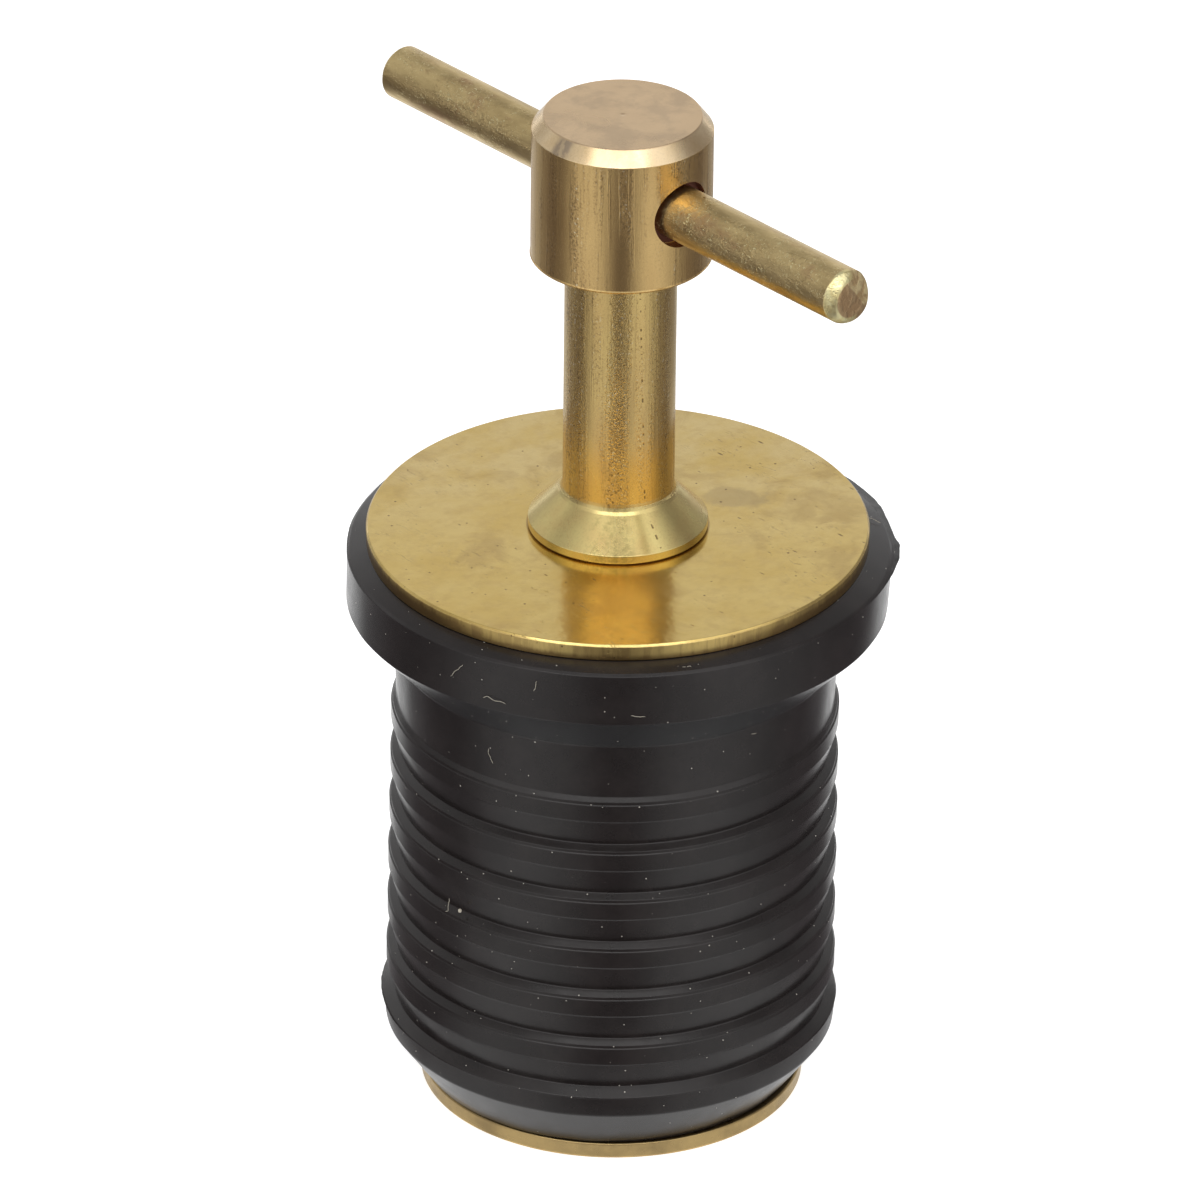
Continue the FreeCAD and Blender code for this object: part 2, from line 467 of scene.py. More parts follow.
# A broken seam runs up the neck, where the draw die has left a line of small open marks.
seam_turn = math_node(tree, "MULTIPLY_ADD", z, -0.0113, 0.166)
off_seam = math_node(tree, "ABSOLUTE", math_node(tree, "SUBTRACT", turn, seam_turn))
dashes = span(tree, grain(tree, place(tree, (0.3, 0.3, 3.2)), 1.0, 2.0, 0.5), 0.52, 0.60)
seam = times(tree, span(tree, off_seam, 0.004, 0.018, 1.0, 0.0), dashes)
seam = times(tree, seam, flipped(tree, on_head))
colour = tint(tree, colour, seam, 0.7, (0.16, 0.09, 0.04))
feed(tree, shader.inputs["Base Color"], colour)
satin = span(tree, patches, 0.35, 0.65, 0.19, 0.28)
feed(tree, shader.inputs["Roughness"], math_node(tree, "MULTIPLY_ADD", shaded_hole, 0.4, satin))

fine_marks = grain(tree, place(tree, (11, 11, 0.5)), 1.0, 2.0, 0.5)
rings = grain(tree, place(tree, (0, 0, 1)), 14.0, 2.0, 0.6)
rough_lines = math_node(tree, "MULTIPLY_ADD", rubbed, 0.9, 0.10)
height = times(tree, specks, math_node(tree, "ADD", worn, rough_lines))
height = math_node(tree, "MULTIPLY_ADD", fine_marks, 0.08, height)
height = math_node(tree, "MULTIPLY_ADD", pocks, -0.4, height)
height = math_node(tree, "MULTIPLY_ADD", dented, -0.6, height)
height = times(tree, height, math_node(tree, "MULTIPLY_ADD", plain_turned, 0.8, 0.2))
height = math_node(tree, "MULTIPLY_ADD", times(tree, rings, on_chamfer), 0.05, height)
height = math_node(tree, "MULTIPLY_ADD", seam, -0.5, height)
height = times(tree, height, flipped(tree, shaded_hole))
feed(tree, shader.inputs["Normal"], bump(tree, height, 0.022))
feed(tree, shader.inputs["Metallic"], 1.0)
screw.data.materials.append(screw_brass)


# Handle bar. A length of plain brass rod pressed through the head, dull and olive from handling, with
# nicks all over. Its ends are cropped and filed by hand. The near one has a wide chamfer on one side and
# is worn round on the other, and the far one is blunt.
bar_half = bar_high.x + 0.03
end_zone = 1.2
bar_tilt = math.radians(0.61)
bar_sides = 160


def end_reach(side, angle, r):
    """How far the rod's end reaches at this point of it: the lowest of its cropped and filed faces."""
    across, up = r * math.sin(angle), -r * math.cos(angle)
    rim = bar_r - r
    if side < 0:
        return bar_half - max(0.0, 0.28 - rim) - 0.04 * (r / bar_r) ** 2
    chamfer = 0.34 - 0.32 * math.sin(angle) - 0.08 * math.cos(angle)
    bumps = noise.noise(Vector((across, up, 3.0)) * 2.2)
    worn_round = 0.42 * (0.8 * across + 0.6 * up - 0.35) + 0.04 * bumps
    faces = (0.0, chamfer - rim * 1.5, 0.12 - rim, worn_round, 0.30 * (up - 0.9))
    sharp = 14.0
    return bar_half - math.log(sum(math.exp(sharp * face) for face in faces)) / sharp


def bar_relief(angle, r, z, flash):
    """The rod's last millimetre, drawn in to the shape of its end."""
    into = abs(z) - (bar_half - end_zone)
    if into > 0:
        share = into / end_zone
        z *= 1 + (end_reach(z, angle, r) - bar_half) * share / abs(z)
    return r, z


bar_outline = rounded([
    (0.0, -bar_half),
    (bar_r, -bar_half, 0.05),
    (bar_r, bar_half, 0.05),
    (0.0, bar_half),
])
bar = lathe("handle_bar", divided(bar_outline, 0.1, closed=False), bar_sides, relief=bar_relief)
bar.data.transform(Euler((0, math.pi / 2 + bar_tilt, 0)).to_matrix().to_4x4())
bar.data.transform(Matrix.Translation((0, 0, bar_z * MM)))
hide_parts("t_bar")
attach(bar, "handle")

bar_brass, tree, shader = principled("handled_brass_rod")
x, y, z = axes(tree, place(tree))
drop = math_node(tree, "SUBTRACT", math_node(tree, "MULTIPLY_ADD", x, math.tan(bar_tilt), z), bar_z)
out = distance(tree, add(tree, "ShaderNodeCombineXYZ", {1: y, 2: drop}).outputs[0])
clouds = use(tree, tarnish, Vector=place(tree, (0.4, 1, 1)), Clean=(0.80, 0.615, 0.30),
             Dull=(0.50, 0.36, 0.165), Clouds=0.8, Amount=0.8)
rust = span(tree, grain(tree, place(tree, (0.6, 1, 1), (9, 4, 1)), 0.5, 4.0, 0.65), 0.54, 0.68)
colour = tint(tree, clouds, rust, 0.55, (0.46, 0.26, 0.14))

crowd = span(tree, grain(tree, place(tree, (0.6, 1, 1)), 0.42, 2.0, 0.5), 0.44, 0.60)
nicks = grain(tree, place(tree, (0.8, 1, 1)), 3.6, 2.0, 0.55, 1.2)
chips = grain(tree, place(tree, (0.8, 1, 1), (3, 1, 2)), 3.8, 1.0, 0.5, 2.4)
nicked = times(tree, span(tree, nicks, 0.52, 0.68), crowd)
chips_and_highlights = times(tree, span(tree, chips, 0.640, 0.685), crowd)
colour = tint(tree, colour, nicked, 0.35, (0.30, 0.19, 0.08))
# Chips show fresh metal, and their colour is pushed near white as a painted highlight for the glint of their
# facets.
colour = mix(tree, chips_and_highlights, colour, (1.0, 0.88, 0.50))

# The near end: brown and mottled on the cropped face and where it is worn, and bright where it is filed,
# with a painted highlight over the filed metal.
at_end = span(tree, x, bar_half - 0.72, bar_half - 0.60)
filed = times(tree, at_end, span(tree, y, 0.0, 0.5, 1.0, 0.0))
filed = times(tree, filed, span(tree, out, 1.02, 1.12))
worn_end = times(tree, at_end, flipped(tree, filed))
cropped = times(tree, span(tree, x, bar_half - 0.19, bar_half - 0.15), flipped(tree, filed))
worn_side = math_node(tree, "MULTIPLY_ADD", drop, 0.6, times(tree, y, 0.8))
cropped = times(tree, cropped, span(tree, worn_side, 0.30, 0.42, 1.0, 0.0))
mottle = span(tree, grain(tree, place(tree), 1.6, 3.0, 0.6), 0.42, 0.60)
colour = mix(tree, at_end, colour, mix(tree, mottle, (0.70, 0.50, 0.26), (0.96, 0.80, 0.46)))
colour = tint(tree, colour, cropped, 0.8, (0.52, 0.34, 0.19))
# Painted highlight: the filed edge is coloured a bright cream for the crescent of light it catches.
colour = mix(tree, filed, colour, mix(tree, mottle, (0.92, 0.78, 0.38), (1.0, 0.90, 0.50)))
feed(tree, shader.inputs["Base Color"], colour)
scuffs = grain(tree, place(tree, (0.6, 4, 4)), 1.0, 3.0, 0.6)
dull = span(tree, scuffs, 0.3, 0.7, 0.27, 0.38)
feed(tree, shader.inputs["Roughness"], math_node(tree, "MULTIPLY_ADD", worn_end, 0.2, dull))
height = times(tree, nicks, math_node(tree, "MULTIPLY_ADD", crowd, 0.8, 0.2))
height = math_node(tree, "MULTIPLY_ADD", chips_and_highlights, 0.6, height)
height = math_node(tree, "MULTIPLY_ADD", times(tree, worn_end, mottle), 0.5, height)
feed(tree, shader.inputs["Normal"], bump(tree, height, 0.045))
feed(tree, shader.inputs["Metallic"], 1.0)
bar.data.materials.append(bar_brass)


# Top washer. A disc punched from rolled brass sheet, lying a little askew on the rubber under the screw's
# flange. The punch has broken its upper edge, its side is streaked and darker low down, with painted shade
# higher up away from the front, and its face has cloudy smudges, one darker stain, specks and light
# scratches.
washer_r = washer_high.x + 0.16
washer_tip = 0.15
washer_tip_turn = math.radians(112)
washer_wave = 0.010
washer_hole_r = shank_r + 0.08
washer_sides = 320
washer_outline = rounded([
    (washer_hole_r, washer_low.z, 0.03),
    (washer_r - 0.02, washer_low.z, 0.04),
    (washer_r, washer_high.z - 0.13, 0.03),
    (washer_r - 0.11, washer_high.z, 0.03),
    (washer_hole_r, washer_high.z, 0.05),
])


def tipped(angle, r):
    """Lift of the washer at this point. Under the screw's flange it is flat, and outside it slopes."""
    return washer_tip * math.cos(angle - washer_tip_turn) * max(0.0, r - head_r) / (washer_r - head_r)


def washer_relief(angle, r, z, flash):
    """The sheet slopes a little, and its upper face is slightly wavy from the punch."""
    wave = noise.noise(Vector((math.cos(angle) * r * 0.12, math.sin(angle) * r * 0.12, 1.0)))
    if z > washer_low.z + 0.1:
        z += washer_wave * wave * r / washer_r
    return r, z + tipped(angle, r)


washer_points = divided(washer_outline, 0.6, closed=True)
washer = lathe("top_washer_sheet", washer_points, washer_sides, relief=washer_relief, closed=True)
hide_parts("top_washer")
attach(washer, "plug_body")

washer_brass, tree, shader = principled("rolled_brass_sheet")
x, y, z = axes(tree, place(tree))
out = distance(tree, place(tree, (1, 1, 0)))
turn = math_node(tree, "ARCTAN2", y, x)
toward = math_node(tree, "SUBTRACT", times(tree, x, 0.73), times(tree, y, 0.68))
fresh = mix(tree, span(tree, toward, -9.0, 6.0), (0.82, 0.63, 0.29), (0.82, 0.61, 0.225))
clouds = use(tree, tarnish, Vector=place(tree, (1, 0.7, 1)), Clean=fresh, Dull=(0.75, 0.53, 0.165),
             Clouds=0.34, Amount=0.9)
murk = span(tree, grain(tree, place(tree, (1, 1, 1), (4, 8, 0)), 0.25, 5.0, 0.6, 0.5), 0.50, 0.70)
colour = tint(tree, clouds, murk, 0.45, (0.60, 0.41, 0.16))

# The stain is an uneven oval, longer to the side than it is deep.
away = math_node(tree, "MULTIPLY_ADD", toward, 1.7, 5.4)
beside = math_node(tree, "MULTIPLY_ADD", x, 0.68, times(tree, y, 0.73))
beside = math_node(tree, "SUBTRACT", beside, 6.5)
from_stain = distance(tree, add(tree, "ShaderNodeCombineXYZ", {0: away, 1: beside}).outputs[0])
edge = math_node(tree, "MULTIPLY_ADD", grain(tree, place(tree), 0.9, 4.0, 0.6), 2.4, from_stain)
stain = span(tree, edge, 2.6, 3.5, 1.0, 0.0)
colour = tint(tree, colour, stain, 0.8, (0.60, 0.45, 0.205))
mottle = span(tree, grain(tree, place(tree, (1, 1, 1), (1, 9, 0)), 1.1, 6.0, 0.68), 0.44, 0.66)
colour = tint(tree, colour, mottle, 0.28, (0.62, 0.43, 0.17))

spots = use(tree, pits, Vector=place(tree, (1, 1, 1), (5, 2, 0)), Scale=1.5, Size=0.15, Share=0.8)
flecks = use(tree, pits, Vector=place(tree, (0.45, 1.6, 1), (1, 6, 0)), Scale=1.2, Size=0.15, Share=0.6)
scuffed = span(tree, grain(tree, place(tree, (1, 1, 1), (7, 3, 0)), 0.22, 2.0, 0.5), 0.48, 0.62)
hairs = span(tree, grain(tree, place(tree, (0.5, 2, 1), (2, 2, 0)), 2.0, 3.0, 0.6, 1.6), 0.64, 0.70)
scratched = times(tree, hairs, scuffed)
colour = tint(tree, colour, spots, 1.6, (0.20, 0.12, 0.05))
colour = tint(tree, colour, flecks, 1.4, (0.30, 0.19, 0.07))
colour = tint(tree, colour, scratched, 0.45, (0.42, 0.27, 0.10))

# The side is darker and browner in streaks and near its lower edge, and painted shade darkens it higher up,
# round the parts that turn away from the front.
on_side = span(tree, out, washer_r - 0.045, washer_r - 0.03)
streaks = span(tree, grain(tree, place(tree, (2.2, 2.2, 0.4)), 1.0, 3.0, 0.6), 0.42, 0.62)
level = math_node(tree, "MULTIPLY_ADD", toward, 0.9 * washer_tip / washer_r, z)
low_side = span(tree, level, washer_low.z, washer_low.z + 0.42, 1.0, 0.0)
side_shade = span(tree, math_node(tree, "ABSOLUTE", math_node(tree, "ADD", turn, 0.75)), 0.35, 0.8)
side_shade = times(tree, span(tree, level, washer_low.z + 0.35, washer_low.z + 0.75, 1.0, 0.0), side_shade)
low_side = math_node(tree, "MAXIMUM", low_side, side_shade)
darkened_side = times(tree, on_side, math_node(tree, "MULTIPLY_ADD", streaks, 0.5, low_side, clamp=True))
colour = tint(tree, colour, on_side, 0.08, (0.30, 0.22, 0.11))
colour = tint(tree, colour, darkened_side, 0.66, (0.25, 0.135, 0.062))
# Painted shade: a dark ring round the seat of the screw's flange, where the two parts meet.
seat_contact_shade = span(tree, out, head_r + 0.02, head_r + 0.14, 1.0, 0.0)
colour = tint(tree, colour, seat_contact_shade, 0.6, (0.20, 0.10, 0.04))
feed(tree, shader.inputs["Base Color"], colour)
sheen = span(tree, murk, 0.0, 1.0, 0.17, 0.25)
feed(tree, shader.inputs["Roughness"], math_node(tree, "MULTIPLY_ADD", on_side, 0.12, sheen))
rolled = grain(tree, place(tree, (0.3, 2.2, 2.2)), 1.0, 3.0, 0.6)
height = math_node(tree, "MULTIPLY_ADD", rolled, 0.12, grain(tree, place(tree), 0.9, 2.0, 0.5))
height = math_node(tree, "SUBTRACT", height, math_node(tree, "ADD", flecks, scratched))
feed(tree, shader.inputs["Normal"], bump(tree, height, 0.015))
feed(tree, shader.inputs["Metallic"], 1.0)
washer.data.materials.append(washer_brass)


# Rubber sleeve. One black rubber moulding: a thick flange for the tube's mouth, a plain neck, six
# shallow saw-tooth ribs that grip the tube, a collar and a tapered foot. The mould's parting lines have
# left thin ragged flash on the flange's rim and on the collar. It leans slightly to the picture's right.
sleeve_low, sleeve_high = (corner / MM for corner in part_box("rubber_sleeve"))
flange_r = sleeve_high.x
foot_r = 10.58
foot_lift = 0.02
collar_r = 12.73
taper_h = 3.0
collar_h = 1.15
rib_count = 6
rib_pitch = 3.07
rib_land = 1.04
rib_ledge = 0.40
rib_depth = 0.45
rib_top_r, rib_bottom_r = 12.48, 12.61
neck_rubber_r = 12.22
bore_r = shank_r + 0.3
washer_seat_r = 13.8
collar_z = sleeve_low.z + taper_h
collar_top_z = collar_z + collar_h
under_flange_z = 27.15
flange_z = under_flange_z + flange_r - neck_rubber_r
flange_top_z = sleeve_high.z - 0.5
lean = 0.0066
lean_from_z = 27.0
camera_azimuth = math.radians(46.9)
view_right = Vector((math.cos(camera_azimuth), math.sin(camera_azimuth), 0))
sleeve_sides = 312

sleeve_corners = [
    (bore_r, sleeve_low.z + foot_lift, 0.1),
    (foot_r, sleeve_low.z + foot_lift, 0.06),
    (collar_r - 0.10, collar_z - 0.13, 0.3),
    (collar_r, collar_top_z - 0.14, 0.02),
    (collar_r + 0.02, collar_top_z - 0.08, 0.0, 1.0),
    (collar_r - 0.05, collar_top_z - 0.02, 0.02),
]
for i in range(rib_count):
    below_z = collar_top_z + i * rib_pitch
    rib_r = rib_bottom_r + (rib_top_r - rib_bottom_r) * i / (rib_count - 1)
    rib_top_z = below_z + rib_pitch
    land_z = rib_top_z - rib_land
    sleeve_corners += [
        (rib_r - rib_depth, below_z + rib_ledge, 0.06),
        (rib_r - 0.06, land_z - 0.11, 0.03),
        (rib_r, land_z, 0.04),
        (rib_r, rib_top_z - 0.13, 0.02),
        (rib_r + 0.01, rib_top_z - 0.09, 0.0, 0.15),
        (rib_r - 0.06, rib_top_z - 0.03, 0.02),
        (rib_r - 0.08, rib_top_z + 0.12, 0.04),
    ]
sleeve_corners += [
    (neck_rubber_r, rib_top_z + rib_ledge, 0.08),
    (neck_rubber_r + 0.16, under_flange_z, 0.3),
    (flange_r, flange_z, 0.12),
    (flange_r, flange_top_z - 0.16, 0.03),
    (flange_r + 0.01, flange_top_z - 0.11, 0.0, 2.0),
    (flange_r - 0.03, flange_top_z - 0.06, 0.02),
    (flange_r - 0.15, flange_top_z + 0.05, 0.05),
    (washer_seat_r, sleeve_high.z, 0.3),
    (bore_r, sleeve_high.z, 0.1),
]

# Reach of the flash and of the rim's unevenness, in mm, by degrees round the moulding.
rim_flash = ((22, 0.0), (30, 0.08), (36, 0.20), (41, 0.29), (44, 0.41), (50.5, 0.43), (52.5, 0.27),
             (58, 0.25), (63, 0.28), (66, 0.38), (70, 0.52), (75, 0.46), (82, 0.46), (90, 0.30),
             (102, 0.10), (116, 0.0))
rim_flare = ((8, 0.0), (26, 0.14), (50, 0.16), (70, 0.06), (84, 0.0))
rim_bulge = ((140, 0.0), (160, 0.16), (188, 0.22), (200, 0.12), (222, 0.0))
collar_flash = ((196, 0.0), (208, 0.10), (226, 0.15), (244, 0.08), (262, 0.0))
flash_step_degrees = 4.5


def along(table, degrees):
    """Value at this angle in a table of (degrees, value), and 0 outside it."""
    for (a, low), (b, high) in zip(table, table[1:]):
        if a <= degrees <= b:
            return low + (high - low) * (degrees - a) / (b - a)
    return 0.0


def sleeve_relief(angle, r, z, flash):
    """Ragged flash at the mould's parting lines, and the slight unevenness of cured rubber."""
    degrees = math.degrees(angle) % 360
    round_about = Vector((math.cos(angle), math.sin(angle), 0))
    if z > flange_top_z and r <= flange_r - 0.3:
        z += tipped(angle, r) * min(1.0, (z - flange_top_z) / 0.45)
    if r > 8:
        r += 0.03 * noise.noise(round_about * 6 + Vector((0, 0, z * 0.3)))
    if r > flange_r - 0.3 and z > flange_z:
        up_wall = (z - flange_z) / (flange_top_z - flange_z)
        r += along(rim_bulge, degrees) + along(rim_flare, degrees) * up_wall
    if flash > 0:
        ragged = max(0.0, noise.noise(round_about * 4 + Vector((0, 0, z * 7))) + 0.25)
        teeth = 0.5 + 0.5 * noise.noise(round_about * 60 + Vector((0, 0, z)))
        r += 0.05 * min(flash, 1.0) * ragged * teeth
        if z > flange_z:
            step = noise.cell(Vector((degrees / flash_step_degrees, 3.0, 0.5)))
            r += along(rim_flash, degrees) * (0.92 + 0.10 * step + 0.06 * teeth)
        elif flash > 0.5:
            r += along(collar_flash, degrees) * (0.8 + 0.4 * teeth)
    return r, z


sleeve_points = divided(rounded(sleeve_corners, arc_step=20), 1.6, closed=True)
sleeve = lathe("rubber_sleeve_moulding", sleeve_points, sleeve_sides, relief=sleeve_relief, closed=True)
for vertex in sleeve.data.vertices:
    vertex.co += view_right * (vertex.co.z - lean_from_z * MM) * lean
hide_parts("rubber_sleeve")
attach(sleeve, "plug_body")
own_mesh(sleeve)

rubber, tree, shader = principled("moulded_rubber")
bloom = use(tree, tarnish, Vector=place(tree), Clean=(0.0160, 0.0124, 0.0118), Dull=(0.0260, 0.0205, 0.0195),
            Clouds=0.35, Amount=0.9)
x, y, z = axes(tree, place(tree))
# The cone under the flange is mixed to a paler, neutral grey.
pale_underside = band(tree, z, under_flange_z - 0.1, under_flange_z + 0.3, flange_z - 0.1, flange_z + 0.02)
colour = mix(tree, pale_underside, bloom, (0.040, 0.040, 0.041))
dust = use(tree, pits, Vector=place(tree, shift=(1, 7, 3)), Scale=2.2, Size=0.10, Share=0.5)
colour = mix(tree, math_node(tree, "GREATER_THAN", dust, 0.15), colour, (0.78, 0.73, 0.64))
feed(tree, shader.inputs["Base Color"], colour)
satin = span(tree, grain(tree, place(tree), 0.8, 4.0), 0.3, 0.7, 0.19, 0.26)
feed(tree, shader.inputs["Roughness"], satin)
feed(tree, shader.inputs["Normal"], bump(tree, grain(tree, place(tree), 6.0, 3.0, 0.6), 0.003))
sleeve.data.materials.append(rubber)


# Lint. Cotton hairs from a cloth, and one crumb, clinging to the rubber where it was last wiped. They lie
# loose on it, each a bent thread a few hundredths of a millimetre thick.
lint_r = 0.014
lint_steps = 16
lint_sides = 5
crumb_r = 0.10
crumb_turn = math.radians(-85.5)
crumb_z = 15.0
wall_hairs = (
    (-80.1, flange_r, 31.3, 30, 1.3), (-72.0, flange_r, 30.6, 20, 1.5), (-60.5, flange_r, 31.7, 75, 0.7),
    (-77.6, neck_rubber_r + 0.02, 26.0, -84, 1.2), (-8.6, neck_rubber_r + 0.03, 27.0, -70, 1.3),
    (-90.6, rib_bottom_r - 0.02, 14.5, 18, 1.1), (-40.0, flange_r, 30.6, 10, 0.8),
)
top_hairs = ((57.4, 14.9, 100, 1.5), (72.3, 14.9, 60, 1.0), (-30.0, 14.5, 15, 0.9))


def around(angle, r, z):
    """The point at this angle, radius and height."""
    return Vector((r * math.cos(angle), r * math.sin(angle), z))


def hair(bm, path):
    """A thin tube along this path of points in mm."""
    rings = []
    last = len(path) - 1
    for k, point in enumerate(path):
        on = path[min(k + 1, last)] - path[max(k - 1, 0)]
        side = on.cross(Vector((0.3, 0.2, 1))).normalized()
        other = on.cross(side).normalized()
        slim = lint_r * (1.0 if 0 < k < last else 0.3)
        ring = []
        for s in range(lint_sides):
            angle = 2 * math.pi * s / lint_sides
            spoke = side * math.cos(angle) + other * math.sin(angle)
            ring.append(bm.verts.new((point + spoke * slim) * MM))
        rings.append(ring)
    for low, high in zip(rings, rings[1:]):
        for s in range(lint_sides):
            after = (s + 1) % lint_sides
            bm.faces.new((low[s], low[after], high[after], high[s])).smooth = True
    bm.faces.new(rings[0])
    bm.faces.new(rings[-1])


def bent_path(seed, heading, length, at):
    """Points of a curling path on a surface. at(run, rise, lift) gives a place on it in mm."""
    path = []
    turn, run, rise = math.radians(heading), 0.0, 0.0
    for k in range(lint_steps + 1):
        arch = math.sin(math.pi * k / lint_steps) * abs(noise.noise(Vector((seed, 4.0, k * 0.15))))
        path.append(at(run, rise, 0.015 + 0.12 * arch))
        turn += 0.55 * noise.noise(Vector((seed * 3.7, k * 0.35, 2.0)))
        run += length / lint_steps * math.cos(turn)
        rise += length / lint_steps * math.sin(turn)
    return path


bm = bmesh.new()
for i, (degrees, r, z, heading, length) in enumerate(wall_hairs):
    start = math.radians(degrees)
    hair(bm, bent_path(i + 0.5, heading, length, lambda run, rise, lift: around(
        start + run / r, r + 0.03 + lift, z + rise)))
slope = (sleeve_high.z - flange_top_z) / (flange_r - washer_seat_r)
for i, (degrees, r, heading, length) in enumerate(top_hairs):
    start = math.radians(degrees)
    top_z = flange_top_z + (flange_r - r) * slope + tipped(start, r) + 0.05
    hair(bm, bent_path(i + 9.5, heading, length, lambda run, rise, lift: around(
        start + run / r, r - rise, top_z + rise * slope + lift)))
crumb_at = around(crumb_turn, rib_bottom_r + 0.02, crumb_z)
for vertex in bmesh.ops.create_icosphere(bm, subdivisions=3, radius=crumb_r * MM)["verts"]:
    vertex.co *= 1 + 0.5 * noise.noise(vertex.co / MM * 9)
    vertex.co += crumb_at * MM
bmesh.ops.recalc_face_normals(bm, faces=bm.faces)
lint_mesh = bpy.data.meshes.new("lint")
bm.to_mesh(lint_mesh)
bm.free()
lint = bpy.data.objects.new("lint", lint_mesh)
bpy.context.collection.objects.link(lint)
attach(lint, "plug_body")
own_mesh(lint)

cotton, tree, shader = principled("cotton_lint")
fluff = grain(tree, place(tree), 12.0, 2.0, 0.6)
feed(tree, shader.inputs["Base Color"], mix(tree, fluff, (0.50, 0.44, 0.33), (0.82, 0.77, 0.66)))
feed(tree, shader.inputs["Roughness"], 0.9)
feed(tree, shader.inputs["Normal"], bump(tree, fluff, 0.01))
lint.data.materials.append(cotton)


# Bottom plate. A smaller disc punched from the same sheet, pulled up against the sleeve's foot by the
# nut. Both its edges are rounded a little by tumbling.
plate_low, plate_high = (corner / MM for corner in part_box("bottom_plate"))
plate_r = plate_high.x
rivet_r = 4.0
flare = 0.45
plate_sides = 320
plate_outline = rounded([
    (rivet_r + flare, plate_low.z, 0.02),
    (plate_r, plate_low.z, 0.15),
    (plate_r, plate_high.z, 0.12),
    (rivet_r, plate_high.z, 0.02),
    (rivet_r, plate_low.z + flare, 0.02),
])
plate = lathe("bottom_plate_sheet", divided(plate_outline, 0.8, closed=True), plate_sides, closed=True)
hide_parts("bottom_plate")
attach(plate, "clamp")

plate_brass, tree, shader = principled("tumbled_brass_sheet")
clouds = use(tree, tarnish, Vector=place(tree), Clean=(0.54, 0.385, 0.168), Dull=(0.31, 0.22, 0.105),
             Clouds=0.35, Amount=0.85)
feed(tree, shader.inputs["Base Color"], clouds)
rolled = grain(tree, place(tree, (0.3, 4, 4)), 1.0, 3.0, 0.6)
feed(tree, shader.inputs["Roughness"], span(tree, rolled, 0.3, 0.7, 0.26, 0.38))
feed(tree, shader.inputs["Normal"], bump(tree, rolled, 0.005))
feed(tree, shader.inputs["Metallic"], 1.0)
plate.data.materials.append(plate_brass)


# Nut. Hexagon brass with a tapped bore, riveted into the plate by flaring its spigot. It sits in a
# pocket in the sleeve, and only the flared end shows from below.
nut_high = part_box("thread_nut")[1] / MM
nut_bore_r = shank_r + 0.05
bore_chamfer = 0.3
nut_corner_r = nut_high.x
nut_across = nut_corner_r * math.cos(math.pi / 6)
corner_w, corner_h = 0.9, 0.45
tool_ring_r, tool_ring_w, tool_ring_h = 3.8, 0.15, 0.03
nut_sides = 192


def nut_relief(angle, r, z, flash):
    """Hexagon flats above the plate, cut from the round blank, and the ring mark of the rivet tool."""
    if z > plate_high.z - 0.001 and r > rivet_r + flare:
        r = min(r, nut_across / math.cos((angle % (math.pi / 3)) - math.pi / 6))
    if z < 0.01 and abs(r - tool_ring_r) < 0.5:
        z += tool_ring_h * math.exp(-(((r - tool_ring_r) / tool_ring_w) ** 2))
    return r, z


nut_outline = rounded([
    (nut_bore_r + bore_chamfer, 0.0, 0.02),
    (rivet_r + flare, 0.0, 0.03),
    (rivet_r, flare, 0.02),
    (rivet_r, plate_high.z, 0.0),
    (nut_corner_r, plate_high.z, 0.05),
    (nut_corner_r, nut_high.z - corner_h, 0.05),
    (nut_corner_r - corner_w, nut_high.z, 0.05),
    (nut_bore_r + bore_chamfer, nut_high.z, 0.02),
    (nut_bore_r, nut_high.z - bore_chamfer, 0.02),
    (nut_bore_r, bore_chamfer, 0.02),
])
nut_points = divided(nut_outline, 0.5, closed=True)
nut = lathe("thread_nut_hexagon", nut_points, nut_sides, relief=nut_relief, closed=True)
nut.data.set_sharp_from_angle(angle=math.radians(32))
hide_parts("thread_nut")
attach(nut, "clamp")

nut_brass, tree, shader = principled("nut_brass")
clouds = use(tree, tarnish, Vector=place(tree), Clean=(0.74, 0.58, 0.32), Dull=(0.50, 0.36, 0.17),
             Clouds=0.7, Amount=0.7)
feed(tree, shader.inputs["Base Color"], clouds)
marks = grain(tree, place(tree, (3, 3, 3)), 1.0, 3.0, 0.6)
feed(tree, shader.inputs["Roughness"], span(tree, marks, 0.3, 0.7, 0.26, 0.38))
feed(tree, shader.inputs["Normal"], bump(tree, marks, 0.005))
feed(tree, shader.inputs["Metallic"], 1.0)
nut.data.materials.append(nut_brass)


# Studio. A pale table in a soft light tent, seen from above at the angle of a product shot, with a long
# lens. Two lit panels stand left and right of the camera, with a bright one above it, and the sides and
# the camera's own place stay dark. That draws the upright bands on the brass and keeps the rubber black.
low_panels = (
    (-180, 0.88), (-150, 0.54), (-130, 0.34), (-112, 0.20), (-90, 0.125), (-72, 0.23), (-55, 0.56),
    (-35, 0.63), (-20, 0.44), (-9, 0.20), (0, 0.12), (9, 0.20), (20, 0.44), (35, 0.64), (55, 0.58),
    (72, 0.36), (90, 0.20), (112, 0.14), (130, 0.24), (150, 0.37), (180, 0.88),
)
high_panels = (
    (-180, 0.72), (-150, 0.70), (-124, 0.62), (-108, 0.60), (-95, 0.40), (-80, 0.58), (-62, 0.98),
    (-45, 1.05), (-20, 0.80), (0, 0.66), (20, 0.80), (45, 1.12), (62, 1.15), (76, 0.72), (90, 0.32),
    (112, 0.26), (124, 0.34), (150, 0.58), (180, 0.72),
)
